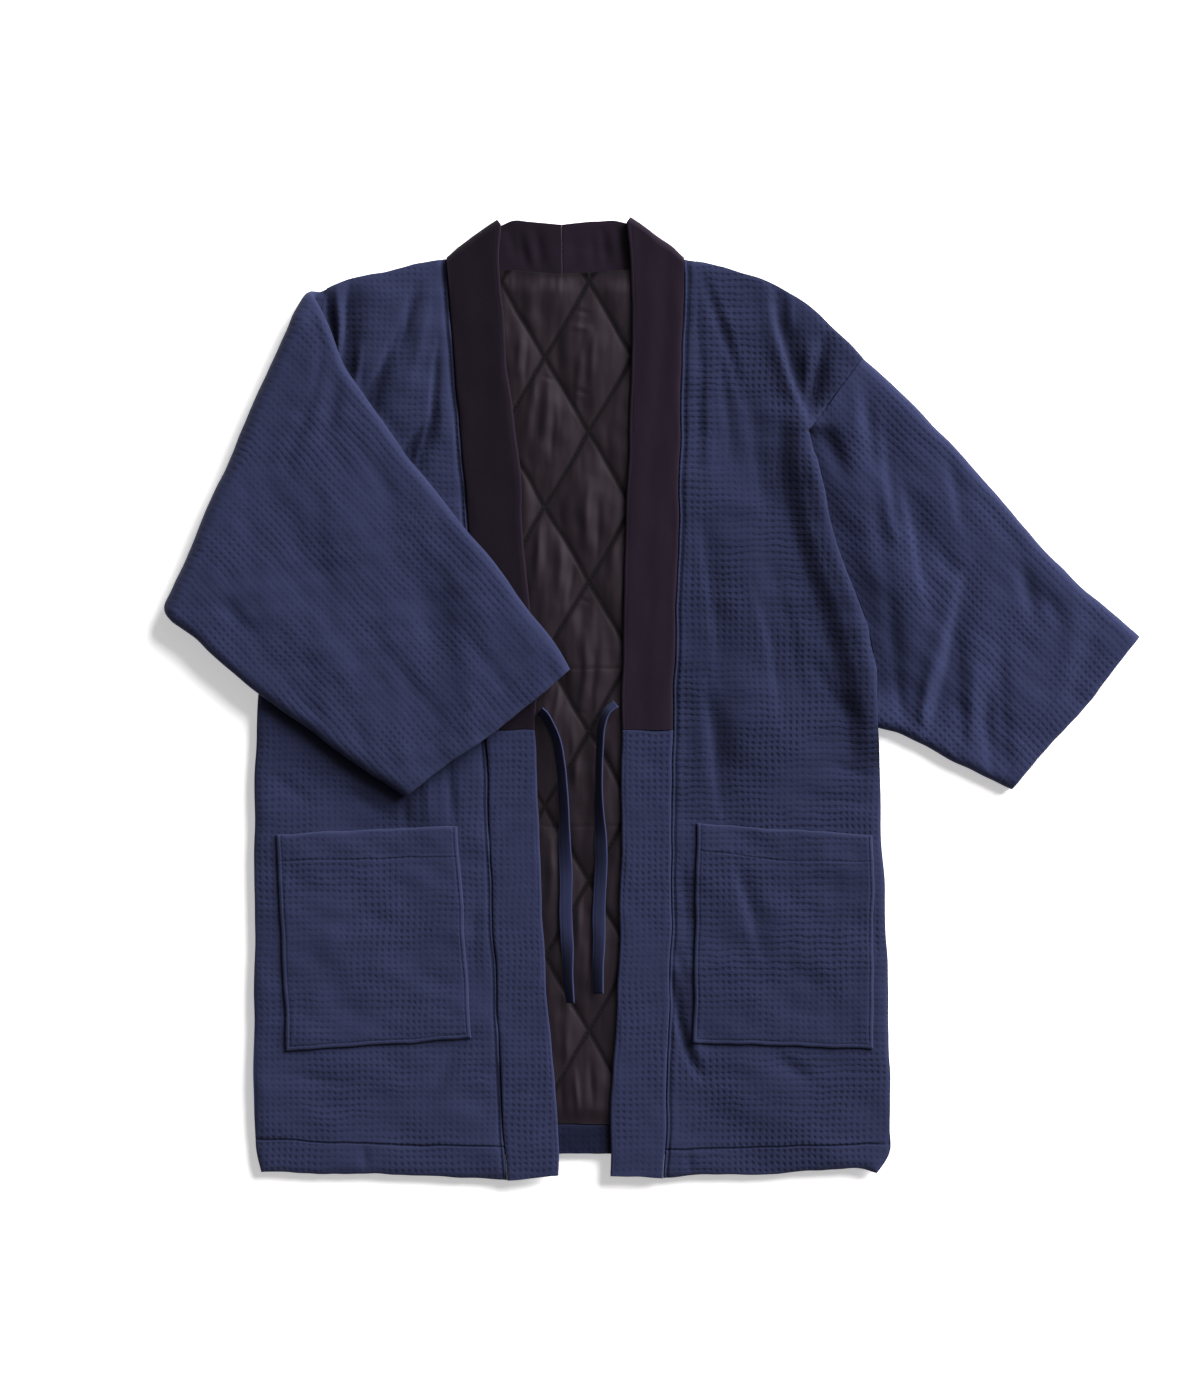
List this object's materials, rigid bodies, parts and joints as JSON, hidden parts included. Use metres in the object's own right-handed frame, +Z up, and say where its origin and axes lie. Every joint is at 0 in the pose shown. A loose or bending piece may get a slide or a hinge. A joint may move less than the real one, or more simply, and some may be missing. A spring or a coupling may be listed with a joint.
{
  "type": "padded kimono coat",
  "caption": "Padded navy kimono coat with a black collar and quilted lining, laid flat and open, one sleeve folded over the front.",
  "frame": {"origin": "on the surface the coat lies on, under the middle of its back", "axes": "+Z up from the surface, +Y toward the collar, +X toward the wearer's left sleeve"},
  "size_m": [0.9166, 0.9062, 0.0305],
  "materials": {
    "shell": "matt waffle-woven navy cloth",
    "collar": "matt black cloth",
    "lining": "satin black quilted lining",
    "ties": "matt smooth navy cloth"
  },
  "bodies": {
    "root": {"back": "shell", "front_left": "shell", "front_right": "shell", "sleeve_left": "shell", "sleeve_right": "shell", "band_left": "shell", "band_right": "shell", "hem_back": "shell", "pocket_left": "shell", "pocket_right": "shell", "collar_left": "collar", "collar_right": "collar", "lining": "lining", "tie_left": "ties", "tie_right": "ties"}
  },
  "joints": []
}
